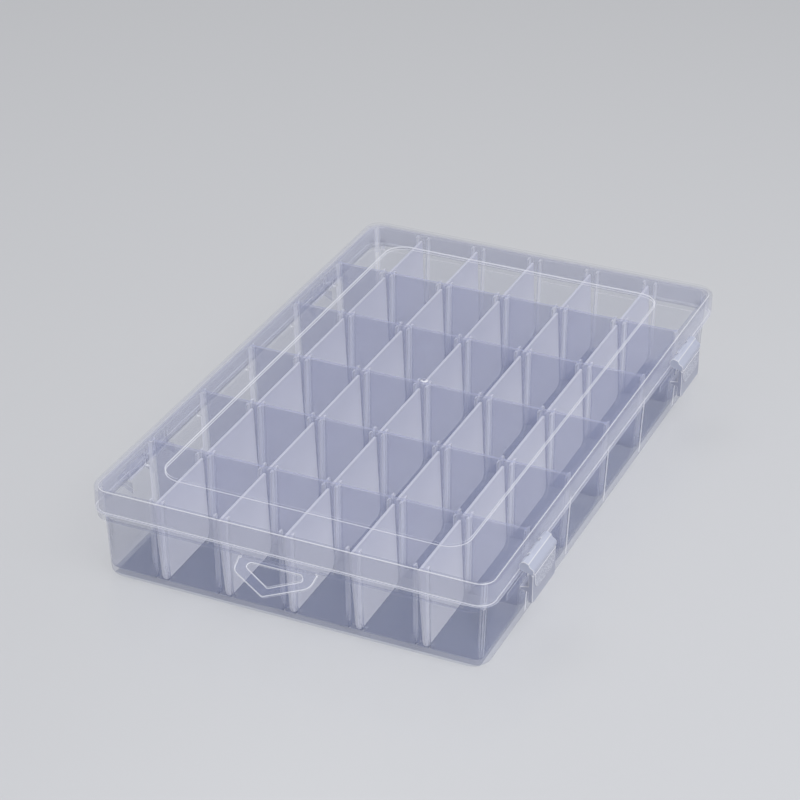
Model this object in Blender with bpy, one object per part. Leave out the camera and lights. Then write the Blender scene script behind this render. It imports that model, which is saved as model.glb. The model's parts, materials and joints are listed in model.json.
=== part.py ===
import math

import bmesh
import bpy
from mathutils import Vector

# Compartment organizer with a hinged lid, two snap latches, loose dividers and a hang tab.
# Frame: X along the long sides, latches at -Y, hinge at +Y, hang tab at -X, Z up.
# The origin is the middle of the underside.

MM = 0.001
DEG = math.radians(1)

# Overall sizes
LID_LENGTH = 275.0 * MM
LID_WIDTH = 175.0 * MM
BOX_HEIGHT = 43.0 * MM

# Fits between pieces
GAP = 0.3 * MM
RIM_CLEARANCE = 0.7 * MM
OVERRUN = 2.0 * MM
BITE = 0.8 * MM

# Lid
LID_WALL = 1.5 * MM
LID_TOP = 1.5 * MM
SKIRT_DEPTH = 11.4 * MM
LID_CORNER_RADIUS = 8.0 * MM
LID_EDGE_RADIUS = 1.6 * MM
PANEL_INSET = 20.2 * MM
PANEL_CORNER_RADIUS = 10.0 * MM
PANEL_DEPTH = 0.5 * MM
PANEL_RAMP = 0.9 * MM
GATE_RADIUS = 1.3 * MM
GATE_HEIGHT = 0.3 * MM

# Tray
TRAY_WALL = 1.6 * MM
TRAY_FLOOR = 1.6 * MM
TRAY_CORNER_RADIUS = 8.0 * MM
TRAY_FOOT_RADIUS = 2.5 * MM
TRAY_DRAFT = 2.4 * DEG
RIM_BAND_HEIGHT = 3.1 * MM
RIM_BAND_SETBACK = 0.6 * MM

# Compartments
BAYS = 6
ROWS = 6
BAY_PITCH = 45.6 * MM
ROW_PITCH = 28.7 * MM
CROSS_WALL = 1.5 * MM
CROSS_DRAFT = 0.5 * DEG
FLOOR_FILLET = 4.0 * MM
POCKET_CORNER_RADIUS = 2.5 * MM

# Divider slots and dividers, which stand loose in their slots and lean towards the hinge
ROW_SHIFT = 0.85 * MM
RIB_WIDTH = 1.4 * MM
RIB_DEPTH = 2.5 * MM
RIB_TIP_TAPER = 0.2 * MM
DIVIDER_THICKNESS = 1.2 * MM
DIVIDER_DROP = 2.3 * MM
DIVIDER_LEAN = 3.5 * DEG

# Lid hinge
HINGE_SPREAD_SHARE = 0.633
HINGE_EAR_PITCH = 18.0 * MM
HINGE_EAR_WIDTH = 2.4 * MM
HINGE_EAR_RADIUS = 2.4 * MM
HINGE_EAR_FOOT = 7.5 * MM
HINGE_EAR_START = -108.0 * DEG
HINGE_EAR_END = 99.0 * DEG
HINGE_DROP = 4.1 * MM
HINGE_PIN_RADIUS = 1.2 * MM
HINGE_SIDE_GAP = 0.4 * MM
CLIP_WALL = 1.1 * MM
CLIP_LEAF = 1.6 * MM
CLIP_TOP = 4.0 * MM
CLIP_MOUTH_HALF_ANGLE = 50.0 * DEG
CLIP_MOUTH_DIRECTION = 250.0 * DEG
BAND_TO_CLIP = 0.4 * MM

# Latches
LATCH_SPREAD_SHARE = 0.655
LATCH_SHIFT = -8.4 * MM
LATCH_WIDTH = 24.8 * MM
LATCH_PIVOT_OUT = 2.6 * MM
LATCH_PIVOT_RISE = 5.2 * MM
LATCH_CAP_RADIUS = 2.2 * MM
LATCH_CAP_START = 250.0 * DEG
LATCH_CAP_END = 90.0 * DEG
LATCH_CAP_OUT = 6.2 * MM
LATCH_CROWN_SHARES = (0.47, 0.7)
LATCH_BROW_SHARES = (0.66, 0.08)
LATCH_BROW_FOOT_SHARE = 0.22
LATCH_LIP_START_SHARE = 0.5
LATCH_LIP_OUT = 6.6 * MM
LATCH_LIP_DROP = 2.6 * MM
LATCH_LIP_GROOVE = 0.5 * MM
LATCH_PLATE_OUT = 6.4 * MM
LATCH_PLATE_THICKNESS = 1.9 * MM
LATCH_PLATE_DROP = 16.8 * MM
LATCH_TOE_RADIUS = 0.7 * MM
LATCH_CORNER_RADIUS = 2.5 * MM
LATCH_PAD_WIDTH = 22.0 * MM
LATCH_PAD_HEIGHT = 7.6 * MM
LATCH_PAD_RADIUS = 5.0 * MM
LATCH_PAD_PROUD = 0.4 * MM
LATCH_BAR_RADIUS = 0.9 * MM
LATCH_BAR_LENGTH = 19.6 * MM
LATCH_MOUTH = 1.5 * MM
LATCH_HOOK_HEIGHT = 1.9 * MM
LATCH_WEB_WIDTH = 1.6 * MM
LATCH_WEB_HEIGHT = 1.2 * MM
LATCH_WEB_SPREAD = 6.0 * MM
LATCH_WEB_DROP = 1.5 * MM
LATCH_SWING = 80.0 * DEG

# Catch ledges under the latches
LEDGE_OUT = 0.7 * MM
LEDGE_HEIGHT = 3.4 * MM
LEDGE_BEFORE = 25.0 * MM
LEDGE_AFTER = 18.5 * MM
LEDGE_END_RADIUS = 1.4 * MM

# Hang tab
TAB_OFFSET = 3.0 * MM
TAB_WIDTH = 34.6 * MM
TAB_LENGTH = 15.8 * MM
TAB_SHOULDER = 7.0 * MM
TAB_SHOULDER_NARROWING = 0.5 * MM
TAB_SHOULDER_RADIUS = 4.5 * MM
TAB_THICKNESS = 1.2 * MM
TAB_BEAD_RADIUS = 0.7 * MM
TAB_HOLE_TOP = 1.9 * MM
TAB_HOLE_SHOULDER = 3.9 * MM
TAB_HOLE_WIDTH = 22.0 * MM
TAB_HOLE_FLARE = 1.5 * MM
TAB_RIM = 5.0 * MM
TAB_NOSE_RADIUS = 1.6 * MM
TAB_HOLE_RADIUS = 1.2 * MM
TAB_AXIS_DROP = 0.9 * MM
TAB_AXIS_OUT = 0.7 * MM
TAB_TILT = 67.0 * DEG
TAB_RAIL_HEIGHT = 2.2 * MM
TAB_CORNERS = 5

# Facets of round shapes
CORNER_STEPS = 6
POCKET_CORNER_STEPS = 3
FILLET_STEPS = 3
ARC_STEP = 20.0 * DEG

# Heights and half sizes worked out from the sizes above
LID_HALF_X = LID_LENGTH / 2
LID_HALF_Y = LID_WIDTH / 2
SKIRT_BOTTOM = BOX_HEIGHT - SKIRT_DEPTH
TRAY_TOP = BOX_HEIGHT - LID_TOP - GAP
TRAY_HALF_X = LID_HALF_X - LID_WALL - RIM_CLEARANCE
TRAY_HALF_Y = LID_HALF_Y - LID_WALL - RIM_CLEARANCE
BAND_TOP = SKIRT_BOTTOM - GAP
BAND_BOTTOM = BAND_TOP - RIM_BAND_HEIGHT

DIVIDER_FOOT = TRAY_FLOOR + GAP
DIVIDER_HEIGHT = TRAY_TOP - DIVIDER_DROP - DIVIDER_FOOT
DIVIDER_MIDDLE = DIVIDER_FOOT + DIVIDER_HEIGHT / 2
GROOVE_WIDTH = DIVIDER_THICKNESS / math.cos(DIVIDER_LEAN) + DIVIDER_HEIGHT * math.sin(DIVIDER_LEAN) + 2 * GAP

CLIP_BORE_RADIUS = HINGE_PIN_RADIUS + GAP
CLIP_RADIUS = CLIP_BORE_RADIUS + CLIP_WALL
CLIP_INNER_FACE = LID_HALF_Y - RIM_BAND_SETBACK + BAND_TO_CLIP
HINGE_Y = CLIP_INNER_FACE + CLIP_RADIUS
HINGE_Z = SKIRT_BOTTOM - HINGE_DROP

LATCH_Y = -LID_HALF_Y - LATCH_PIVOT_OUT
LATCH_Z = SKIRT_BOTTOM + LATCH_PIVOT_RISE
LATCH_BORE_RADIUS = LATCH_BAR_RADIUS + GAP

TAB_X = -(LID_HALF_X - RIM_BAND_SETBACK) + TAB_AXIS_OUT
TAB_Z = BAND_BOTTOM - TAB_AXIS_DROP


def clear_scene():
    for item in list(bpy.data.objects):
        bpy.data.objects.remove(item, do_unlink=True)


def plastic(name, color, roughness):
    """A material of one slot: milky polypropylene."""
    material = bpy.data.materials.new(name)
    material.use_nodes = True
    shader = material.node_tree.nodes["Principled BSDF"]
    shader.inputs["Base Color"].default_value = (*color, 1.0)
    shader.inputs["Roughness"].default_value = roughness
    shader.inputs["Metallic"].default_value = 0.0
    shader.inputs["Alpha"].default_value = 0.6
    material.diffuse_color = (*color, 1.0)
    return material


def add_object(name, mesh_builder, material=None):
    """Links a new object whose mesh comes from a bmesh, with its faces pointing out."""
    bmesh.ops.recalc_face_normals(mesh_builder, faces=mesh_builder.faces)
    mesh = bpy.data.meshes.new(name)
    mesh_builder.to_mesh(mesh)
    mesh_builder.free()
    mesh.shade_smooth()
    mesh.set_sharp_from_angle(angle=32 * DEG)
    item = bpy.data.objects.new(name, mesh)
    bpy.context.scene.collection.objects.link(item)
    if material:
        mesh.materials.append(material)
    return item


def boolean(target, tool, operation):
    """Adds a Boolean to the target; the tool stays in the file as a hidden guide."""
    modifier = target.modifiers.new(operation.lower(), "BOOLEAN")
    modifier.operation = operation
    modifier.object = tool
    modifier.solver = "EXACT"
    tool.hide_render = True
    tool.display_type = "WIRE"


def arc(center, radius, start, end, steps=None):
    """Points on an arc in a plane, both ends included."""
    if steps is None:
        steps = max(1, math.ceil(abs(end - start) / ARC_STEP))
    points = []
    for step in range(steps + 1):
        angle = start + (end - start) * step / steps
        points.append((center[0] + radius * math.cos(angle), center[1] + radius * math.sin(angle)))
    return points


def rounded_polygon(corners, radii):
    """A closed outline with each corner replaced by an arc of its own radius."""
    points = []
    count = len(corners)
    for index in range(count):
        corner = Vector(corners[index])
        before = Vector(corners[index - 1]) - corner
        after = Vector(corners[(index + 1) % count]) - corner
        radius = radii[index]
        if not radius:
            points.append(tuple(corner))
            continue
        half = before.angle(after) / 2
        middle = (before.normalized() + after.normalized()).normalized()
        center = corner + middle * (radius / math.sin(half))
        reach = radius / math.tan(half)
        first = corner + before.normalized() * reach - center
        last = corner + after.normalized() * reach - center
        turn = math.atan2(first.x * last.y - first.y * last.x, first.dot(last))
        start = math.atan2(first.y, first.x)
        points += arc(center, radius, start, start + turn)
    return points


def rounded_rectangle(center_x, center_y, half_x, half_y, radius, steps):
    """Corner arcs of a rectangle, anticlockwise from the +X +Y corner."""
    points = []
    for quarter, (side_x, side_y) in enumerate(((1, 1), (-1, 1), (-1, -1), (1, -1))):
        middle = (center_x + side_x * (half_x - radius), center_y + side_y * (half_y - radius))
        start = quarter * math.pi / 2
        points += arc(middle, radius, start, start + math.pi / 2, steps)
    return points


def add_loft(mesh_builder, rings):
    """Joins rings of (outline, height) with walls and closes both ends."""
    loops = []
    for outline, height in rings:
        loops.append([mesh_builder.verts.new((x, y, height)) for x, y in outline])
    mesh_builder.faces.new(list(reversed(loops[0])))
    for lower, upper in zip(loops, loops[1:]):
        count = len(lower)
        for index in range(count):
            after = (index + 1) % count
            mesh_builder.faces.new((lower[index], lower[after], upper[after], upper[index]))
    mesh_builder.faces.new(loops[-1])


def add_prism(mesh_builder, outline, place, start, end):
    """Extrudes an outline from start to end; place turns (u, v, depth) into a point."""
    first = [mesh_builder.verts.new(place(u, v, start)) for u, v in outline]
    last = [mesh_builder.verts.new(place(u, v, end)) for u, v in outline]
    mesh_builder.faces.new(list(reversed(first)))
    mesh_builder.faces.new(last)
    count = len(outline)
    for index in range(count):
        after = (index + 1) % count
        mesh_builder.faces.new((first[index], first[after], last[after], last[index]))


def along_x(u, v, depth):
    return (depth, u, v)


def along_y(u, v, depth):
    return (u, depth, v)


def along_z(u, v, depth):
    return (u, v, depth)


def circle(center, radius):
    return arc(center, radius, 0, 2 * math.pi)[:-1]


# Tray

def tray_half(top_half, height):
    """Half the tray's outer size at a height, smaller towards the foot."""
    return top_half - math.tan(TRAY_DRAFT) * (TRAY_TOP - height)


def tray_outline(height, inset=0.0):
    half_x = tray_half(TRAY_HALF_X, height) - inset
    half_y = tray_half(TRAY_HALF_Y, height) - inset
    return rounded_rectangle(0, 0, half_x, half_y, TRAY_CORNER_RADIUS - inset, CORNER_STEPS)


def bay_center(bay):
    return (bay - (BAYS - 1) / 2) * BAY_PITCH


def row_center(row):
    return (row - (ROWS - 1) / 2) * ROW_PITCH


def slot_places():
    """Y of each slot: between neighbouring rows, all a little towards the hinge."""
    return [row_center(row) + ROW_PITCH / 2 + ROW_SHIFT for row in range(ROWS - 1)]


def bay_sides(bay, height):
    """X of a bay's two walls at a height, without the fillet at the floor."""
    below_top = TRAY_TOP - height
    outer = tray_half(TRAY_HALF_X, height) - TRAY_WALL
    half_wall = CROSS_WALL / 2 + math.tan(CROSS_DRAFT) * below_top
    low = bay_center(bay) - BAY_PITCH / 2 + half_wall
    high = bay_center(bay) + BAY_PITCH / 2 - half_wall
    if bay == 0:
        low = -outer
    if bay == BAYS - 1:
        high = outer
    return low, high


def fillet_rings(floor):
    """Heights and insets of the rings of a bay, from the floor up to its open top."""
    rings = []
    for step in range(FILLET_STEPS + 1):
        angle = math.pi / 2 * (1 - step / FILLET_STEPS)
        height = floor + FLOOR_FILLET * (1 - math.sin(angle))
        rings.append((height, FLOOR_FILLET * (1 - math.cos(angle))))
    return rings


def bay_outline(bay, height, inset):
    """A bay seen from above, with a pair of ribs beside each divider's slot."""
    low, high = bay_sides(bay, height)
    low += inset
    high -= inset
    half_y = tray_half(TRAY_HALF_Y, height) - TRAY_WALL - inset
    half_x = (high - low) / 2
    corners = rounded_rectangle((low + high) / 2, 0, half_x, half_y, POCKET_CORNER_RADIUS, POCKET_CORNER_STEPS)
    per_corner = POCKET_CORNER_STEPS + 1
    rib_sides = []
    for place in slot_places():
        near = GROOVE_WIDTH / 2
        rib_sides += [(place - near - RIB_WIDTH, place - near), (place + near, place + near + RIB_WIDTH)]
    left = []
    for start, end in reversed(rib_sides):
        tip = low + RIB_DEPTH
        left += [(low, end), (tip, end - RIB_TIP_TAPER), (tip, start + RIB_TIP_TAPER), (low, start)]
    right = []
    for start, end in rib_sides:
        tip = high - RIB_DEPTH
        right += [(high, start), (tip, start + RIB_TIP_TAPER), (tip, end - RIB_TIP_TAPER), (high, end)]
    return corners[:2 * per_corner] + left + corners[2 * per_corner:] + right


def make_bay_cutter():
    """The hollows of all the bays, with the ribs left standing."""
    mesh_builder = bmesh.new()
    for bay in range(BAYS):
        rings = []
        for height, inset in fillet_rings(TRAY_FLOOR):
            rings.append((bay_outline(bay, height, inset), height))
        rings.append((bay_outline(bay, TRAY_TOP + OVERRUN, 0.0), TRAY_TOP + OVERRUN))
        add_loft(mesh_builder, rings)
    return add_object("bay_cutter", mesh_builder)


def make_rim_band():
    """The band under the lid's skirt, on the ends and the hinge side only."""
    half_x = LID_HALF_X - RIM_BAND_SETBACK
    back = LID_HALF_Y - RIM_BAND_SETBACK
    front = -tray_half(TRAY_HALF_Y, BAND_BOTTOM) + TRAY_WALL / 2
    outline = rounded_rectangle(
        0, (back + front) / 2, half_x, (back - front) / 2, TRAY_CORNER_RADIUS, CORNER_STEPS)
    mesh_builder = bmesh.new()
    add_loft(mesh_builder, [(outline, BAND_BOTTOM), (outline, BAND_TOP)])
    return add_object("rim_band", mesh_builder)


def latch_centers():
    """X of the two latches, which sit a little nearer the hang tab's end."""
    spread = LATCH_SPREAD_SHARE * LID_HALF_X
    return (LATCH_SHIFT - spread, LATCH_SHIFT + spread)


def make_catch_ledges():
    """The ledge that each latch grips, a little longer on the side towards -X."""
    mesh_builder = bmesh.new()
    inside = -tray_half(TRAY_HALF_Y, BAND_BOTTOM) + TRAY_WALL / 2
    low = BAND_TOP - LEDGE_HEIGHT
    for center in latch_centers():
        corners = [
            (center - LEDGE_BEFORE, low),
            (center + LEDGE_AFTER, low),
            (center + LEDGE_AFTER, BAND_TOP),
            (center - LEDGE_BEFORE, BAND_TOP),
        ]
        outline = rounded_polygon(corners, [LEDGE_END_RADIUS] * len(corners))
        add_prism(mesh_builder, outline, along_y, inside, -LID_HALF_Y - LEDGE_OUT)
    return add_object("catch_ledges", mesh_builder)


def hinge_centers():
    spread = HINGE_SPREAD_SHARE * LID_HALF_X
    return (-spread, spread)


def make_hinge_ears():
    """Three ears at each hinge, standing out from the back wall under the skirt."""
    inside = tray_half(TRAY_HALF_Y, HINGE_Z) - TRAY_WALL / 2
    axis = (HINGE_Y, HINGE_Z)
    outline = [(inside, HINGE_Z - HINGE_EAR_FOOT + HINGE_EAR_RADIUS)]
    outline += arc(axis, HINGE_EAR_RADIUS, HINGE_EAR_START, HINGE_EAR_END)
    outline += [(inside, BAND_TOP - GAP)]
    mesh_builder = bmesh.new()
    for center in hinge_centers():
        for step in (-1, 0, 1):
            middle = center + step * HINGE_EAR_PITCH
            add_prism(mesh_builder, outline, along_x, middle - HINGE_EAR_WIDTH / 2, middle + HINGE_EAR_WIDTH / 2)
    return add_object("hinge_ears", mesh_builder)


def make_hinge_pins():
    """One pin through the three ears of each hinge, moulded with them."""
    mesh_builder = bmesh.new()
    for center in hinge_centers():
        add_prism(mesh_builder, circle((HINGE_Y, HINGE_Z), HINGE_PIN_RADIUS), along_x,
                  center - HINGE_EAR_PITCH, center + HINGE_EAR_PITCH)
    return add_object("hinge_pins", mesh_builder)


def make_tab_rail():
    """The rail whose hollow holds the hang tab's bead, under the band at -X."""
    inside = -tray_half(TRAY_HALF_X, BAND_BOTTOM) + TRAY_WALL / 2
    outer = TAB_X + TAB_BEAD_RADIUS
    top = BAND_BOTTOM + GAP
    hollow = TAB_BEAD_RADIUS + GAP
    start = math.acos((outer - TAB_X) / hollow)
    outline = [(inside, top), (inside, top - TAB_RAIL_HEIGHT), (outer, top - TAB_RAIL_HEIGHT)]
    outline += arc((TAB_X, TAB_Z), hollow, -start, start)
    outline += [(outer, top)]
    mesh_builder = bmesh.new()
    half = TAB_WIDTH / 2
    add_prism(mesh_builder, outline, along_y, TAB_OFFSET - half, TAB_OFFSET + half)
    return add_object("tab_rail", mesh_builder)


def make_tray(material):
    mesh_builder = bmesh.new()
    rings = []
    for step in range(FILLET_STEPS + 1):
        angle = math.pi / 2 * step / FILLET_STEPS
        height = TRAY_FOOT_RADIUS * (1 - math.cos(angle))
        rings.append((tray_outline(height, TRAY_FOOT_RADIUS * (1 - math.sin(angle))), height))
    rings.append((tray_outline(TRAY_TOP), TRAY_TOP))
    add_loft(mesh_builder, rings)
    tray = add_object("tray", mesh_builder, material)
    for tool in (make_rim_band(), make_catch_ledges(), make_hinge_ears(), make_hinge_pins(), make_tab_rail()):
        boolean(tray, tool, "UNION")
    boolean(tray, make_bay_cutter(), "DIFFERENCE")
    return tray


# Dividers

def make_dividers(material, tray):
    """One thin plate in each pair of facing slots, its lower corners round like the bay's."""
    top = DIVIDER_FOOT + DIVIDER_HEIGHT
    for bay in range(BAYS):
        left = []
        right = []
        for height, inset in fillet_rings(TRAY_FLOOR):
            low, high = bay_sides(bay, height)
            left.append((low + inset + GAP, height + GAP))
            right.append((high - inset - GAP, height + GAP))
        low, high = bay_sides(bay, top)
        left.append((low + GAP, top))
        right.append((high - GAP, top))
        center = bay_center(bay)
        outline = [(x - center, z - DIVIDER_MIDDLE) for x, z in right + list(reversed(left))]
        for row, place in enumerate(slot_places()):
            mesh_builder = bmesh.new()
            half = DIVIDER_THICKNESS / 2
            add_prism(mesh_builder, outline, along_y, -half, half)
            divider = add_object(f"divider_bay{bay + 1}_slot{row + 1}", mesh_builder, material)
            divider.location = (center, place, DIVIDER_MIDDLE)
            divider.rotation_euler = (-DIVIDER_LEAN, 0, 0)
            divider.parent = tray


# Lid

def lid_outline(inset, radius):
    return rounded_rectangle(0, 0, LID_HALF_X - inset, LID_HALF_Y - inset, radius, CORNER_STEPS)


def make_latch_webs():
    """Two short webs a latch, from the skirt up to the latch's bar."""
    mesh_builder = bmesh.new()
    inside = -LID_HALF_Y + BITE
    tilt = math.atan2(LATCH_WEB_DROP, LATCH_PIVOT_OUT)
    half_height = LATCH_WEB_HEIGHT / 2 / math.cos(tilt)
    slope = LATCH_WEB_DROP / LATCH_PIVOT_OUT
    low = LATCH_Z - slope * (inside - LATCH_Y)
    outline = [
        (inside, low - half_height),
        (inside, low + half_height),
        (LATCH_Y, LATCH_Z + half_height),
        (LATCH_Y, LATCH_Z - half_height),
    ]
    for center in latch_centers():
        for web in (-1, 1):
            middle = center + web * LATCH_WEB_SPREAD
            add_prism(mesh_builder, outline, along_x, middle - LATCH_WEB_WIDTH / 2, middle + LATCH_WEB_WIDTH / 2)
    return add_object("latch_webs", mesh_builder)


def make_latch_bars():
    mesh_builder = bmesh.new()
    for center in latch_centers():
        add_prism(mesh_builder, circle((LATCH_Y, LATCH_Z), LATCH_BAR_RADIUS), along_x,
                  center - LATCH_BAR_LENGTH / 2, center + LATCH_BAR_LENGTH / 2)
    return add_object("latch_bars", mesh_builder)


def make_hinge_clips():
    """C-shaped clips pushed over the hinge pins, hung from the skirt by a leaf."""
    axis = (HINGE_Y, HINGE_Z)
    leaf_outer = CLIP_INNER_FACE + CLIP_LEAF
    skirt_inside = LID_HALF_Y - BITE
    skirt_face = LID_HALF_Y
    top = SKIRT_BOTTOM + CLIP_TOP
    step_height = SKIRT_BOTTOM + BITE
    leaf_angle = math.acos((leaf_outer - HINGE_Y) / CLIP_RADIUS)
    mouth_far = CLIP_MOUTH_DIRECTION + CLIP_MOUTH_HALF_ANGLE - 2 * math.pi
    mouth_near = CLIP_MOUTH_DIRECTION - CLIP_MOUTH_HALF_ANGLE
    outline = [(skirt_inside, top), (skirt_face, top), (leaf_outer, top - CLIP_LEAF)]
    outline += arc(axis, CLIP_RADIUS, leaf_angle, mouth_far)
    outline += arc(axis, CLIP_BORE_RADIUS, mouth_far, mouth_near)
    outline += arc(axis, CLIP_RADIUS, mouth_near, math.pi, 1)
    outline += [(CLIP_INNER_FACE, step_height), (skirt_inside, step_height)]
    half = (HINGE_EAR_PITCH - HINGE_EAR_WIDTH) / 2 - HINGE_SIDE_GAP
    mesh_builder = bmesh.new()
    for center in hinge_centers():
        for side in (-1, 1):
            middle = center + side * HINGE_EAR_PITCH / 2
            add_prism(mesh_builder, outline, along_x, middle - half, middle + half)
    return add_object("hinge_clips", mesh_builder)


def make_gate_mark():
    """The small raised mark in the middle of the lid where the mould was filled."""
    mesh_builder = bmesh.new()
    base = BOX_HEIGHT - PANEL_DEPTH
    add_prism(mesh_builder, circle((0, 0), GATE_RADIUS), along_z, base - GATE_HEIGHT, base + GATE_HEIGHT)
    return add_object("gate_mark", mesh_builder)


def make_lid(material):
    """One moulding: skirt, rounded top edge and a shallow sunk panel."""
    ceiling = BOX_HEIGHT - LID_TOP
    inner_radius = LID_CORNER_RADIUS - LID_WALL
    rings = [
        (lid_outline(LID_WALL, inner_radius), ceiling),
        (lid_outline(LID_WALL, inner_radius), SKIRT_BOTTOM),
        (lid_outline(0.0, LID_CORNER_RADIUS), SKIRT_BOTTOM),
    ]
    for step in range(FILLET_STEPS + 1):
        angle = math.pi / 2 * step / FILLET_STEPS
        inset = LID_EDGE_RADIUS * (1 - math.cos(angle))
        height = BOX_HEIGHT - LID_EDGE_RADIUS * (1 - math.sin(angle))
        rings.append((lid_outline(inset, LID_CORNER_RADIUS - inset), height))
    rings.append((lid_outline(PANEL_INSET, PANEL_CORNER_RADIUS), BOX_HEIGHT))
    rings.append((lid_outline(PANEL_INSET + PANEL_RAMP, PANEL_CORNER_RADIUS - PANEL_RAMP), BOX_HEIGHT - PANEL_DEPTH))
    mesh_builder = bmesh.new()
    add_loft(mesh_builder, rings)
    for vertex in mesh_builder.verts:
        vertex.co -= Vector((0, HINGE_Y, HINGE_Z))
    lid = add_object("lid", mesh_builder, material)
    lid.location = (0, HINGE_Y, HINGE_Z)
    for tool in (make_hinge_clips(), make_latch_webs(), make_latch_bars(), make_gate_mark()):
        boolean(lid, tool, "UNION")
    return lid


# Latches, drawn about the pivot with u pointing out from the box and v up

def latch_profile():
    """Cap over the bar, a lip, the plate and the inward hook that grips the ledge."""
    skirt = -LATCH_PIVOT_OUT
    cap_out = LATCH_CAP_OUT + skirt
    lip_out = LATCH_LIP_OUT + skirt
    plate_out = LATCH_PLATE_OUT + skirt
    plate_in = plate_out - LATCH_PLATE_THICKNESS
    ledge_bottom = BAND_TOP - LEDGE_HEIGHT - LATCH_Z
    hook_tip = skirt + LEDGE_OUT + GAP
    hook_top = ledge_bottom - GAP
    hook_bottom = hook_top - LATCH_HOOK_HEIGHT
    toe = -LATCH_PLATE_DROP
    crown_out, crown_rise = LATCH_CROWN_SHARES
    brow_out, brow_rise = LATCH_BROW_SHARES
    outline = arc((0, 0), LATCH_CAP_RADIUS, LATCH_CAP_START, LATCH_CAP_END)
    outline += [
        (cap_out * crown_out, LATCH_CAP_RADIUS * crown_rise),
        (cap_out * brow_out, LATCH_CAP_RADIUS * brow_rise),
        (cap_out, -LATCH_LIP_DROP * LATCH_BROW_FOOT_SHARE),
        (lip_out, -LATCH_LIP_DROP * LATCH_LIP_START_SHARE),
        (lip_out, -LATCH_LIP_DROP),
        (plate_out - LATCH_LIP_GROOVE, -LATCH_LIP_DROP - LATCH_LIP_GROOVE),
        (plate_out, -LATCH_LIP_DROP - 2 * LATCH_LIP_GROOVE),
        (plate_out, toe + LATCH_TOE_RADIUS),
        (plate_out - LATCH_TOE_RADIUS, toe),
        (plate_in + LATCH_TOE_RADIUS, toe),
        (plate_in, toe + LATCH_TOE_RADIUS),
        (plate_in, hook_bottom),
        (hook_tip, hook_bottom + LATCH_TOE_RADIUS),
        (hook_tip, hook_top),
        (plate_in, hook_top + LATCH_TOE_RADIUS),
        (plate_in, -LATCH_LIP_DROP),
    ]
    return outline


def place_latch(u, v, depth):
    return (depth, -u, v)


def make_latch_bore(name, center):
    """The bar's bore with its narrow mouth, closed at both ends of the latch."""
    half = LATCH_BAR_LENGTH / 2 + GAP
    mesh_builder = bmesh.new()
    add_prism(mesh_builder, circle((0, 0), LATCH_BORE_RADIUS), place_latch, -half, half)
    bore = add_object(name + "_bore", mesh_builder)
    bore.location = (center, LATCH_Y, LATCH_Z)
    mesh_builder = bmesh.new()
    reach = -LATCH_CAP_RADIUS - OVERRUN
    mouth = [(0, -LATCH_MOUTH / 2), (0, LATCH_MOUTH / 2), (reach, LATCH_MOUTH / 2), (reach, -LATCH_MOUTH / 2)]
    add_prism(mesh_builder, mouth, place_latch, -half, half)
    slot = add_object(name + "_mouth", mesh_builder)
    slot.location = bore.location
    return bore, slot


def make_latch_notches(name, center):
    """Room for the webs over the whole swing of the latch."""
    low = math.pi + math.atan2(LATCH_WEB_DROP, LATCH_PIVOT_OUT)
    high = low - LATCH_SWING
    room = LATCH_WEB_HEIGHT / 2 + GAP
    below = Vector((-math.sin(low), math.cos(low))) * room
    above = Vector((math.sin(high), -math.cos(high))) * room
    swept = [Vector(point) for point in arc((0, 0), LATCH_CAP_RADIUS + OVERRUN, low, high)]
    outline = [below, swept[0] + below] + swept + [swept[-1] + above, above]
    half = LATCH_WEB_WIDTH / 2 + GAP
    mesh_builder = bmesh.new()
    for web in (-1, 1):
        middle = web * LATCH_WEB_SPREAD
        add_prism(mesh_builder, outline, place_latch, middle - half, middle + half)
    notches = add_object(name + "_notches", mesh_builder)
    notches.location = (center, LATCH_Y, LATCH_Z)
    return notches


def make_latch_trim(name, center):
    """Rounds the plate's lower corners: the latch is kept where it meets this outline."""
    half = LATCH_WIDTH / 2
    corners = [
        (-half, LATCH_CAP_RADIUS + OVERRUN),
        (-half, -LATCH_PLATE_DROP),
        (half, -LATCH_PLATE_DROP),
        (half, LATCH_CAP_RADIUS + OVERRUN),
    ]
    outline = rounded_polygon(corners, [0, LATCH_CORNER_RADIUS, LATCH_CORNER_RADIUS, 0])
    mesh_builder = bmesh.new()
    add_prism(mesh_builder, outline, along_y, -LATCH_LIP_OUT - OVERRUN, LATCH_LIP_OUT + OVERRUN)
    trim = add_object(name + "_trim", mesh_builder)
    trim.location = (center, LATCH_Y, LATCH_Z)
    return trim


def make_latch_pad(name, center):
    """The finger pad, a little proud of the plate, with round lower corners."""
    half = LATCH_PAD_WIDTH / 2
    top = -LATCH_LIP_DROP - LATCH_LIP_GROOVE
    corners = [(-half, top), (-half, top - LATCH_PAD_HEIGHT), (half, top - LATCH_PAD_HEIGHT), (half, top)]
    outline = rounded_polygon(corners, [0, LATCH_PAD_RADIUS, LATCH_PAD_RADIUS, 0])
    face = LATCH_PIVOT_OUT - LATCH_PLATE_OUT
    mesh_builder = bmesh.new()
    add_prism(mesh_builder, outline, along_y, face + LATCH_PLATE_THICKNESS / 2, face - LATCH_PAD_PROUD)
    pad = add_object(name + "_pad", mesh_builder)
    pad.location = (center, LATCH_Y, LATCH_Z)
    return pad


def make_latch(name, center, material, lid):
    mesh_builder = bmesh.new()
    half = LATCH_WIDTH / 2
    add_prism(mesh_builder, latch_profile(), place_latch, -half, half)
    latch = add_object(name, mesh_builder, material)
    latch.location = (center, LATCH_Y - HINGE_Y, LATCH_Z - HINGE_Z)
    latch.parent = lid
    boolean(latch, make_latch_pad(name, center), "UNION")
    boolean(latch, make_latch_trim(name, center), "INTERSECT")
    bore, slot = make_latch_bore(name, center)
    boolean(latch, bore, "DIFFERENCE")
    boolean(latch, slot, "DIFFERENCE")
    boolean(latch, make_latch_notches(name, center), "DIFFERENCE")
    return latch


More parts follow.
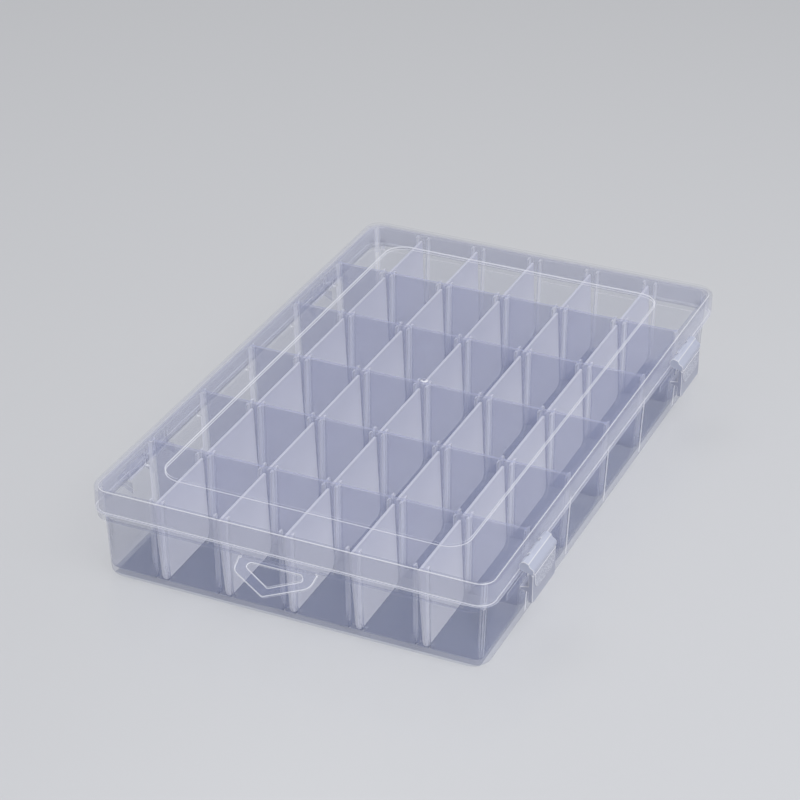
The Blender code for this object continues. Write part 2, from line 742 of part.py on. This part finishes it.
# Hang tab, drawn hanging straight down from its axis and tilted out afterwards

def tab_outline(width, top, shoulder, narrowing, nose, radii):
    """A five-sided shield: straight sides down to the shoulders, then a point."""
    half = width / 2
    corners = [(-half, top), (-half + narrowing, shoulder), (0, nose), (half - narrowing, shoulder), (half, top)]
    return rounded_polygon(corners, radii)


def across_tab(u, v, depth):
    return (depth, u, v)


def make_tab(material, tray):
    mesh_builder = bmesh.new()
    outline = tab_outline(
        TAB_WIDTH, 0, -TAB_SHOULDER, TAB_SHOULDER_NARROWING, -TAB_LENGTH,
        [0, TAB_SHOULDER_RADIUS, TAB_NOSE_RADIUS, TAB_SHOULDER_RADIUS, 0])
    half = TAB_THICKNESS / 2
    add_prism(mesh_builder, outline, across_tab, -half, half)
    tab = add_object("hang_tab", mesh_builder, material)
    tab.location = (TAB_X, TAB_OFFSET, TAB_Z)
    tab.rotation_euler = (0, TAB_TILT, 0)
    tab.parent = tray
    mesh_builder = bmesh.new()
    bead_half = TAB_WIDTH / 2 - TAB_BEAD_RADIUS
    add_prism(mesh_builder, circle((0, 0), TAB_BEAD_RADIUS), along_y, -bead_half, bead_half)
    bead = add_object("tab_bead", mesh_builder)
    mesh_builder = bmesh.new()
    hole = tab_outline(
        TAB_HOLE_WIDTH, -TAB_HOLE_TOP, -TAB_HOLE_SHOULDER, -TAB_HOLE_FLARE, TAB_RIM - TAB_LENGTH,
        [TAB_HOLE_RADIUS] * TAB_CORNERS)
    add_prism(mesh_builder, hole, across_tab, -half - OVERRUN, half + OVERRUN)
    cutter = add_object("tab_hole", mesh_builder)
    for tool, operation in ((bead, "UNION"), (cutter, "DIFFERENCE")):
        tool.location = tab.location
        tool.rotation_euler = tab.rotation_euler
        boolean(tab, tool, operation)
    return tab


def main():
    clear_scene()
    shell = plastic("clear_polypropylene", (0.62, 0.65, 0.74), 0.22)
    milky = plastic("milky_polypropylene", (0.78, 0.79, 0.84), 0.4)
    latch_plastic = plastic("latch_polypropylene", (0.74, 0.76, 0.83), 0.3)
    tray = make_tray(shell)
    make_dividers(milky, tray)
    lid = make_lid(shell)
    left, right = latch_centers()
    make_latch("latch_left", left, latch_plastic, lid)
    make_latch("latch_right", right, latch_plastic, lid)
    make_tab(shell, tray)


main()
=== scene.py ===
import json
import math

import bmesh
import bpy
from mathutils import Matrix, Vector

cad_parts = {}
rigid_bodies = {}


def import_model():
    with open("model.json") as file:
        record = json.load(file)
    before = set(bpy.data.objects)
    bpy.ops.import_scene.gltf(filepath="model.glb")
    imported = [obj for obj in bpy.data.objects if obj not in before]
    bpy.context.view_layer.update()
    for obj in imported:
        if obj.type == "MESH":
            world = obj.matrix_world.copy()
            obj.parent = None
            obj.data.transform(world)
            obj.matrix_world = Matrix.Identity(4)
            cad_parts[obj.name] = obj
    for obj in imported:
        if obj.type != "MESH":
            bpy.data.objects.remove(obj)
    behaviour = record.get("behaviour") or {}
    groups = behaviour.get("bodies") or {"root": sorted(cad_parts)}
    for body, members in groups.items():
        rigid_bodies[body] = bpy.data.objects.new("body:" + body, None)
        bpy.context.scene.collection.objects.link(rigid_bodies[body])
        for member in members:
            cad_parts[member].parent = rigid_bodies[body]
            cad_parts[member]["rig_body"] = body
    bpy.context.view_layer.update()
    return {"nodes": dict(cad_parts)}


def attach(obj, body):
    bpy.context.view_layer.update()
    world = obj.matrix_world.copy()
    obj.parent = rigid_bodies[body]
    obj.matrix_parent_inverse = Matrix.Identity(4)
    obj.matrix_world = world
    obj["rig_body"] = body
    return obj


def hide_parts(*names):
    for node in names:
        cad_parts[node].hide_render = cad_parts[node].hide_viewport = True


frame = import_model()

MM = 0.001
DEG = math.radians(1)

# The camera, solved from the photograph
TARGET = Vector((16.674, 18.768, 20.0)) * MM
AZIMUTH = -66.231 * DEG
ELEVATION = 29.291 * DEG
ROLL = 0.408 * DEG
DISTANCE = 1130.51 * MM
NEAREST_SEEN = 10.0 * MM
SENSOR = 36.0
PHOTO_WIDTH = 800
FOCAL_PIXELS = 2555.02
FOCAL_LENGTH = FOCAL_PIXELS / PHOTO_WIDTH * SENSOR

# The grid of bays and rows
BAY_PITCH = 45.6 * MM
ROW_PITCH = 28.7 * MM
ROW_SHIFT = 0.85 * MM

# Rounded edges of the mouldings
MERGE = 0.002 * MM
FLAT_ANGLE = 1.0 * DEG
SHARP_ANGLE = 31.0 * DEG
SMOOTH_ANGLE = 50.0 * DEG
EDGE = 0.3 * MM
TRAY_EDGE = 0.2 * MM
LATCH_EDGE = 0.22 * MM
EDGE_STEPS = 2

# Cuts through the middle of a bay and of a row, so that no flat face runs all the way round a rim
CUTS = [
    ((BAY_PITCH / 2, 0, 0), (1, 0, 0)),
    ((0, ROW_PITCH / 2 + ROW_SHIFT, 0), (0, 1, 0)),
]

# Places on the tray at which its finish changes, and where its painted shade, painted glow and painted
# highlights lie
TRAY_FLOOR = 1.7 * MM
FOOT_FADE = 12.0 * MM
FLOOR_HALF_X = 130.5 * MM
FLOOR_HALF_Y = 80.5 * MM
POCKET_TOP = 41.2 * MM
POCKET_HALF_X = 133.6 * MM
POCKET_HALF_Y = 83.6 * MM
POCKET_DRAFT = 2.4 * DEG
RIB_START = 1.3 * MM
RIB_FOOT = 5.5 * MM
WALL_END_REACH = 0.6 * MM
WALL_END_Y = 80.0 * MM
WALL_END_FOOT = 3.0 * MM
WALL_END_TOP = 31.0 * MM
RIM_HIGHLIGHT_HEIGHT = 40.6 * MM

# Places on the lid, the dividers and the latches at which their finish changes, and where their painted
# highlight, painted light and painted shade lie
SKIRT_TOP = 41.4 * MM
PANEL_HALF_X = 116.85 * MM
PANEL_HALF_Y = 66.85 * MM
PANEL_RADIUS = 9.55 * MM
PANEL_HIGHLIGHT_WIDTH = 0.6 * MM
DIVIDER_FADE_TOP = 38.0 * MM
DIVIDER_FADE_FOOT = 8.0 * MM
LATCH_PLATE_TOP = 34.0 * MM
PAD_FACE = -94.1 * MM

# Grain and flow marks of the plastic
FLOW_SCALE = 28.0
FLOW_DETAIL = 2.0
GRAIN_SCALE = 900.0
GRAIN_DETAIL = 3.0
GRAIN_DEPTH = 0.05 * MM
STIPPLE_SCALE = 2400.0
STIPPLE_START = 0.42
STIPPLE_CONTRAST = 4.0

# How the plastic meets light; PASSED_LIGHT is the share of the veil that shadow and diffuse rays pass
PLASTIC_IOR = 1.5
GRAZING_BLEND = 0.5
GRAZING_POWER = 4.0
PASSED_LIGHT = 0.8

# Finishes of the plastics, among them painted highlights, glow, light and shade: a colour, linear, and
# how much the veil hides of what lies behind it
# The white of the painted highlights and of the painted sheen at grazing angles
SHEEN_AND_HIGHLIGHT_WHITE = (0.90, 0.91, 0.97)
TRAY_WALL = (0.26, 0.29, 0.46), 0.13
# Painted shade: a dark veil over the tray's floor and the foot of its inner walls
BAY_SHADE = (0.10, 0.13, 0.26), 0.42
CROSS_WALL = (0.44, 0.47, 0.68), 0.35
# Painted glow: the ribs lighter than the cross walls, lifting the shade in the slots
RIB_PAINTED_GLOW = (0.74, 0.76, 0.9), 0.34
# Painted highlight: bright lines where the cross walls meet the long sides
WALL_END_HIGHLIGHT = SHEEN_AND_HIGHLIGHT_WHITE, 0.75
LID_TOP = (0.36, 0.39, 0.54), 0.035
LID_SKIRT = (0.62, 0.64, 0.78), 0.3
# Painted highlight along the step round the lid's panel
PANEL_STEP_HIGHLIGHT = SHEEN_AND_HIGHLIGHT_WHITE, 0.7
DIVIDER_HEAD = (0.62, 0.635, 0.77), 0.68
# Painted light: the divider plates lighter and more solid towards their feet, lifting the shade on their
# lower part
DIVIDER_FOOT_PAINTED_LIGHT = (0.78, 0.79, 0.88), 0.76
# Painted highlight on the dividers' rounded edges
DIVIDER_EDGE_HIGHLIGHT = (0.70, 0.71, 0.81), 0.6
LATCH_CAP = (0.50, 0.53, 0.66), 0.8
# Painted shade: the latch plates darker below their caps
LATCH_PLATE_SHADE = (0.36, 0.38, 0.50), 0.8
LATCH_PAD = (0.66, 0.68, 0.78), 0.85
# Painted highlight on the rounded edges of the lid, the latches and the hang tab
PAINTED_EDGE_HIGHLIGHT = SHEEN_AND_HIGHLIGHT_WHITE, 0.7
# Painted highlights on the tray's rounded edges, fainter along its rim
TRAY_EDGE_HIGHLIGHT = SHEEN_AND_HIGHLIGHT_WHITE, 0.3
TRAY_RIM_HIGHLIGHT = SHEEN_AND_HIGHLIGHT_WHITE, 0.15

# The studio
FLOOR_COLOR = (0.60, 0.61, 0.64)
FLOOR_ROUGHNESS = 0.25
FLOOR_SIZE = 8.0
FLOOR_GAP = 0.2 * MM
WORLD_STRENGTH = 0.4
OVERHEAD_PLACE = (0.3, 0.5, 1.3)
OVERHEAD_SIZE = (1.2, 0.9)
OVERHEAD_POWER = 5
SIDE_PLACE = (-0.5, -0.95, 1.35)
SIDE_SIZE = (1.3, 1.0)
SIDE_POWER = 19
SURFACES_SEEN_THROUGH = 64


def add_camera():
    back = Vector((
        math.sin(AZIMUTH) * math.cos(ELEVATION),
        -math.cos(AZIMUTH) * math.cos(ELEVATION),
        math.sin(ELEVATION),
    ))
    right = Vector((0, 0, 1)).cross(back).normalized()
    up = back.cross(right)
    turned_right = right * math.cos(ROLL) + up * math.sin(ROLL)
    turned_up = up * math.cos(ROLL) - right * math.sin(ROLL)
    data = bpy.data.cameras.new("camera")
    data.sensor_width = SENSOR
    data.lens = FOCAL_LENGTH
    data.clip_start = NEAREST_SEEN
    camera = bpy.data.objects.new("camera", data)
    turn = Matrix((turned_right, turned_up, back)).transposed().to_4x4()
    camera.matrix_world = Matrix.Translation(TARGET + back * DISTANCE) @ turn
    bpy.context.scene.collection.objects.link(camera)
    bpy.context.scene.camera = camera


def add_math(tree, operation, first, second=None, clamp=False):
    """A Math node on one or two plain numbers or node outputs."""
    node = tree.nodes.new("ShaderNodeMath")
    node.operation = operation
    node.use_clamp = clamp
    for slot, value in zip(node.inputs, (first, second)):
        if value is None:
            continue
        if isinstance(value, (int, float)):
            slot.default_value = value
        else:
            tree.links.new(value, slot)
    return node.outputs[0]


def add_product(tree, factors):
    product = factors[0]
    for factor in factors[1:]:
        product = add_math(tree, "MULTIPLY", product, factor)
    return product


def add_mix(tree, kind, factor, first, second):
    """Mixes two values or colours, each a plain one or a node's output."""
    node = tree.nodes.new("ShaderNodeMix")
    node.data_type = kind
    slots = [slot for slot in node.inputs if slot.enabled]
    tree.links.new(factor, slots[0])
    for slot, value in zip(slots[1:], (first, second)):
        if isinstance(value, bpy.types.NodeSocket):
            tree.links.new(value, slot)
        else:
            slot.default_value = value
    return [slot for slot in node.outputs if slot.enabled][0]


def add_noise(tree, scale, detail):
    """A noise fixed to the piece, with values around one half."""
    place = tree.nodes.new("ShaderNodeTexCoord")
    noise = tree.nodes.new("ShaderNodeTexNoise")
    noise.inputs["Scale"].default_value = scale
    noise.inputs["Detail"].default_value = detail
    tree.links.new(place.outputs["Object"], noise.inputs["Vector"])
    return noise.outputs["Fac"]


def add_place(tree):
    """The three object coordinates of the shaded point."""
    place = tree.nodes.new("ShaderNodeTexCoord")
    parts = tree.nodes.new("ShaderNodeSeparateXYZ")
    tree.links.new(place.outputs["Object"], parts.inputs["Vector"])
    return parts.outputs["X"], parts.outputs["Y"], parts.outputs["Z"]


def make_haze_group():
    """Cloudiness of moulded plastic: slow flow marks and a fine grain."""
    tree = bpy.data.node_groups.new("Moulding haze", "ShaderNodeTree")
    for name, start in (("Flow", 0.2), ("Grain", 0.04)):
        socket = tree.interface.new_socket(name, in_out="INPUT", socket_type="NodeSocketFloat")
        socket.default_value = start
    for name in ("Haze", "Roughness"):
        tree.interface.new_socket(name, in_out="OUTPUT", socket_type="NodeSocketFloat")
    inputs = tree.nodes.new("NodeGroupInput")
    outputs = tree.nodes.new("NodeGroupOutput")
    slow = add_math(tree, "SUBTRACT", add_noise(tree, FLOW_SCALE, FLOW_DETAIL), 0.5)
    slow = add_math(tree, "MULTIPLY", slow, inputs.outputs["Flow"])
    fine = add_math(tree, "SUBTRACT", add_noise(tree, GRAIN_SCALE, GRAIN_DETAIL), 0.5)
    fine = add_math(tree, "MULTIPLY", fine, inputs.outputs["Grain"])
    haze = add_math(tree, "ADD", slow, fine)
    haze = add_math(tree, "ADD", haze, 1.0)
    tree.links.new(haze, outputs.inputs["Haze"])
    rough = add_math(tree, "ADD", slow, 0.5)
    tree.links.new(rough, outputs.inputs["Roughness"])
    return tree


def below_mask(height):
    def add(tree):
        return add_math(tree, "LESS_THAN", add_place(tree)[2], height)
    return add


def above_mask(height):
    def add(tree):
        return add_math(tree, "GREATER_THAN", add_place(tree)[2], height)
    return add


def fade_mask(top, bottom):
    """Grows from nothing at the top height to full at the bottom one."""
    def add(tree):
        depth = add_math(tree, "SUBTRACT", top, add_place(tree)[2])
        return add_math(tree, "DIVIDE", depth, top - bottom, clamp=True)
    return add


def bay_shade_mask(tree):
    """The lower part of the tray inside its outer walls, with its floor, darkened there as painted shade
    of the bays.
    """
    x, y, z = add_place(tree)
    factors = [add_math(tree, "LESS_THAN", z, TRAY_FLOOR + FOOT_FADE)]
    for value, half in ((x, FLOOR_HALF_X), (y, FLOOR_HALF_Y)):
        out = add_math(tree, "ABSOLUTE", value)
        factors.append(add_math(tree, "LESS_THAN", out, half))
    return add_product(tree, factors)


def inner_walls_mask(tree):
    """The tray's cross walls and ribs inside its drafted outer walls, growing upwards from its floor out
    of the painted shade of the bays.
    """
    x, y, z = add_place(tree)
    slope = add_math(tree, "SUBTRACT", POCKET_TOP, z)
    slope = add_math(tree, "MULTIPLY", slope, math.tan(POCKET_DRAFT))
    height = add_math(tree, "SUBTRACT", z, TRAY_FLOOR)
    factors = [add_math(tree, "DIVIDE", height, FOOT_FADE, clamp=True)]
    for value, half in ((x, POCKET_HALF_X), (y, POCKET_HALF_Y)):
        out = add_math(tree, "ABSOLUTE", value)
        out = add_math(tree, "ADD", out, slope)
        factors.append(add_math(tree, "LESS_THAN", out, half))
    return add_product(tree, factors)


def rib_glow_mask(tree):
    """The slot ribs, which stand out from the cross walls, painted lighter than them as a painted glow.
    """
    x, _, z = add_place(tree)
    away = add_math(tree, "PINGPONG", x, BAY_PITCH / 2)
    aside = add_math(tree, "GREATER_THAN", away, RIB_START)
    high = add_math(tree, "GREATER_THAN", z, RIB_FOOT)
    return add_product(tree, [aside, high, inner_walls_mask(tree)])


def wall_end_highlight_mask(tree):
    """Painted highlights: bright lines on the tray's long sides where the cross walls join them."""
    x, y, z = add_place(tree)
    away = add_math(tree, "PINGPONG", x, BAY_PITCH / 2)
    side = add_math(tree, "ABSOLUTE", y)
    return add_product(tree, [
        add_math(tree, "LESS_THAN", away, WALL_END_REACH),
        add_math(tree, "GREATER_THAN", side, WALL_END_Y),
        add_math(tree, "LESS_THAN", z, WALL_END_TOP),
        add_math(tree, "GREATER_THAN", z, WALL_END_FOOT),
    ])


def panel_highlight_mask(tree):
    """A painted highlight along the rounded rectangle of the lid's panel, seen from above."""
    x, y, _ = add_place(tree)
    outs = []
    for value, half in ((x, PANEL_HALF_X), (y, PANEL_HALF_Y)):
        out = add_math(tree, "ABSOLUTE", value)
        outs.append(add_math(tree, "SUBTRACT", out, half - PANEL_RADIUS))
    longest = add_math(tree, "MAXIMUM", outs[0], outs[1])
    inner = add_math(tree, "MINIMUM", longest, 0.0)
    squares = []
    for out in outs:
        corner = add_math(tree, "MAXIMUM", out, 0.0)
        squares.append(add_math(tree, "MULTIPLY", corner, corner))
    away = add_math(tree, "ADD", squares[0], squares[1])
    away = add_math(tree, "SQRT", away)
    away = add_math(tree, "ADD", away, inner)
    away = add_math(tree, "SUBTRACT", away, PANEL_RADIUS)
    away = add_math(tree, "ABSOLUTE", away)
    away = add_math(tree, "DIVIDE", away, PANEL_HIGHLIGHT_WIDTH)
    return add_math(tree, "SUBTRACT", 1.0, away, clamp=True)


def pad_mask(tree):
    """The stipple of the latches' finger pads, which stand out from their plates."""
    stipple = add_noise(tree, STIPPLE_SCALE, 0.0)
    spots = add_math(tree, "SUBTRACT", stipple, STIPPLE_START)
    spots = add_math(tree, "MULTIPLY", spots, STIPPLE_CONTRAST, clamp=True)
    pad = add_math(tree, "LESS_THAN", add_place(tree)[1], PAD_FACE)
    return add_math(tree, "MULTIPLY", spots, pad)


def make_plastic(name, finish, roughness, zones=(), grazing=0.0, grain=0.0):
    """See-through plastic: a veil whose zones differ in colour and strength, whiter at grazing angles by
    a painted sheen.
    """
    material = bpy.data.materials.new(name)
    material.use_nodes = True
    tree = material.node_tree
    shader = tree.nodes["Principled BSDF"]
    shader.inputs["Metallic"].default_value = 0.0
    shader.inputs["IOR"].default_value = PLASTIC_IOR
    color, veil = finish
    tint = (*color, 1.0)
    for mask, (zone_color, zone_veil) in zones:
        factor = mask(tree)
        tint = add_mix(tree, "RGBA", factor, tint, (*zone_color, 1.0))
        veil = add_mix(tree, "FLOAT", factor, veil, zone_veil)
    haze = tree.nodes.new("ShaderNodeGroup")
    haze.node_tree = HAZE
    veil = add_math(tree, "MULTIPLY", haze.outputs["Haze"], veil)
    weight = tree.nodes.new("ShaderNodeLayerWeight")
    weight.inputs["Blend"].default_value = GRAZING_BLEND
    grazing_veil_and_sheen = add_math(tree, "POWER", weight.outputs["Facing"], GRAZING_POWER)
    grazing_veil_and_sheen = add_math(tree, "MULTIPLY", grazing_veil_and_sheen, grazing)
    veil = add_math(tree, "ADD", veil, grazing_veil_and_sheen, clamp=True)
    # Painted sheen: the colour turns whiter at grazing angles
    tint = add_mix(tree, "RGBA", grazing_veil_and_sheen, tint, (*SHEEN_AND_HIGHLIGHT_WHITE, 1.0))
    path = tree.nodes.new("ShaderNodeLightPath")
    light = add_math(tree, "MAXIMUM", path.outputs["Is Shadow Ray"], path.outputs["Is Diffuse Ray"])
    light = add_math(tree, "MULTIPLY", light, PASSED_LIGHT)
    light = add_math(tree, "SUBTRACT", 1.0, light)
    veil = add_math(tree, "MULTIPLY", veil, light)
    tree.links.new(tint, shader.inputs["Base Color"])
    tree.links.new(veil, shader.inputs["Alpha"])
    if grain:
        bump = tree.nodes.new("ShaderNodeBump")
        bump.inputs["Strength"].default_value = grain
        bump.inputs["Distance"].default_value = GRAIN_DEPTH
        tree.links.new(haze.outputs["Haze"], bump.inputs["Height"])
        tree.links.new(bump.outputs["Normal"], shader.inputs["Normal"])
    gloss = add_math(tree, "MULTIPLY", haze.outputs["Roughness"], 2 * roughness)
    tree.links.new(gloss, shader.inputs["Roughness"])
    return material


def make_clear_tray():
    zones = [
        # Painted shade darkening the bays
        (bay_shade_mask, BAY_SHADE),
        (inner_walls_mask, CROSS_WALL),
        (rib_glow_mask, RIB_PAINTED_GLOW),
        (wall_end_highlight_mask, WALL_END_HIGHLIGHT),
    ]
    return make_plastic("clear tray plastic", TRAY_WALL, 0.3, zones, grazing=0.25)


def make_clear_lid():
    zones = [
        (below_mask(SKIRT_TOP), LID_SKIRT),
        (panel_highlight_mask, PANEL_STEP_HIGHLIGHT),
    ]
    return make_plastic("clear lid plastic", LID_TOP, 0.2, zones, grazing=0.2)


def make_cloudy_divider():
    # The plates are painted lighter towards their feet as painted light
    zones = [(fade_mask(DIVIDER_FADE_TOP, DIVIDER_FADE_FOOT), DIVIDER_FOOT_PAINTED_LIGHT)]
    return make_plastic("cloudy divider plastic", DIVIDER_HEAD, 0.45, zones, grazing=0.1, grain=0.25)


def make_latch_plastic():
    zones = [
        # Painted shade below the cap
        (below_mask(LATCH_PLATE_TOP), LATCH_PLATE_SHADE),
        (pad_mask, LATCH_PAD),
    ]
    return make_plastic("latch plastic", LATCH_CAP, 0.3, zones, grazing=0.3, grain=0.6)


# The tray's painted edge highlight, fainter above the rim height
def make_tray_edge_highlight():
    zones = [(above_mask(RIM_HIGHLIGHT_HEIGHT), TRAY_RIM_HIGHLIGHT)]
    return make_plastic("painted tray edge highlight", TRAY_EDGE_HIGHLIGHT, 0.25, zones)


def mark_sharp_edges(mesh, hollows):
    """Marks the sharp edges for rounding; hollow ones too when hollows is set, for a piece that no other
    runs close to.
    """
    shape = bmesh.from_edit_mesh(mesh)
    weight = shape.edges.layers.float.new("bevel_weight_edge")
    for edge in shape.edges:
        if not edge.is_manifold or edge.calc_face_angle() < SHARP_ANGLE:
            continue
        if edge.is_convex or hollows:
            edge[weight] = 1.0
    bmesh.update_edit_mesh(mesh)


def finish_moulding(node, edge_width, face_material, edge_material, hollows=False):
    """A finer copy of a moulding: flat faces joined, and its edges rounded in a material of their own, a
    painted highlight.
    """
    mesh = frame["nodes"][node].data.copy()
    mesh.materials.clear()
    mesh.materials.append(face_material)
    mesh.materials.append(edge_material)
    piece = bpy.data.objects.new(node + "_moulding", mesh)
    bpy.context.scene.collection.objects.link(piece)
    bpy.ops.object.select_all(action="DESELECT")
    piece.select_set(True)
    bpy.context.view_layer.objects.active = piece
    bpy.ops.object.mode_set(mode="EDIT")
    bpy.ops.mesh.select_all(action="SELECT")
    bpy.ops.mesh.remove_doubles(threshold=MERGE)
    bpy.ops.mesh.dissolve_limited(angle_limit=FLAT_ANGLE)
    for place, normal in CUTS:
        bpy.ops.mesh.select_all(action="SELECT")
        bpy.ops.mesh.bisect(plane_co=place, plane_no=normal)
    mark_sharp_edges(mesh, hollows)
    bpy.ops.object.mode_set(mode="OBJECT")
    rounding = piece.modifiers.new("rounded edges", "BEVEL")
    rounding.width = edge_width
    rounding.segments = EDGE_STEPS
    rounding.limit_method = "WEIGHT"
    rounding.use_clamp_overlap = False
    rounding.miter_outer = "MITER_ARC"
    rounding.material = 1
    bpy.ops.object.modifier_apply(modifier=rounding.name)
    bpy.ops.object.shade_smooth_by_angle(angle=SMOOTH_ANGLE)
    flats = piece.modifiers.new("flat faces", "WEIGHTED_NORMAL")
    flats.keep_sharp = True
    bpy.ops.object.modifier_apply(modifier=flats.name)
    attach(piece, frame["nodes"][node]["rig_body"])
    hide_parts(node)


def finish_organizer():
    """Every moulding of the organizer in its plastic, with its edges in painted highlights."""
    tray_plastic = make_clear_tray()
    lid_plastic = make_clear_lid()
    divider_plastic = make_cloudy_divider()
    latch_plastic = make_latch_plastic()
    # The rounded edges get painted highlights
    painted_edge_highlight = make_plastic("painted edge highlight", PAINTED_EDGE_HIGHLIGHT, 0.25)
    divider_edge_highlight = make_plastic("divider edge highlight", DIVIDER_EDGE_HIGHLIGHT, 0.35)
    tray_edge_highlight = make_tray_edge_highlight()
    for node in sorted(frame["nodes"]):
        if node.startswith("divider"):
            finish_moulding(node, EDGE, divider_plastic, divider_edge_highlight)
    finish_moulding("tray", TRAY_EDGE, tray_plastic, tray_edge_highlight)
    finish_moulding("lid", EDGE, lid_plastic, painted_edge_highlight, hollows=True)
    for node in ("latch_left", "latch_right"):
        finish_moulding(node, LATCH_EDGE, latch_plastic, painted_edge_highlight)
    finish_moulding("hang_tab", EDGE, tray_plastic, painted_edge_highlight)


def add_floor():
    bpy.ops.object.select_all(action="DESELECT")
    bpy.ops.mesh.primitive_plane_add(size=FLOOR_SIZE, location=(0, 0, -FLOOR_GAP))
    floor = bpy.context.object
    floor.name = "floor"
    material = bpy.data.materials.new("studio floor")
    material.use_nodes = True
    shader = material.node_tree.nodes["Principled BSDF"]
    shader.inputs["Base Color"].default_value = (*FLOOR_COLOR, 1.0)
    shader.inputs["Roughness"].default_value = FLOOR_ROUGHNESS
    floor.data.materials.append(material)


def add_softbox(name, place, size, power):
    """A rectangular area light that faces the organizer."""
    data = bpy.data.lights.new(name, "AREA")
    data.shape = "RECTANGLE"
    data.size, data.size_y = size
    data.energy = power
    light = bpy.data.objects.new(name, data)
    light.location = place
    light.rotation_euler = (-Vector(place)).to_track_quat("-Z", "Y").to_euler()
    bpy.context.scene.collection.objects.link(light)


def add_studio():
    world = bpy.data.worlds.new("studio")
    world.use_nodes = True
    background = world.node_tree.nodes["Background"]
    background.inputs["Color"].default_value = (1, 1, 1, 1)
    background.inputs["Strength"].default_value = WORLD_STRENGTH
    bpy.context.scene.world = world
    add_softbox("overhead softbox", OVERHEAD_PLACE, OVERHEAD_SIZE, OVERHEAD_POWER)
    add_softbox("side softbox", SIDE_PLACE, SIDE_SIZE, SIDE_POWER)


add_camera()
bpy.context.scene.view_settings.view_transform = "Standard"
# A line of sight crosses many walls
bpy.context.scene.cycles.transparent_max_bounces = SURFACES_SEEN_THROUGH
HAZE = make_haze_group()
finish_organizer()
add_floor()
add_studio()
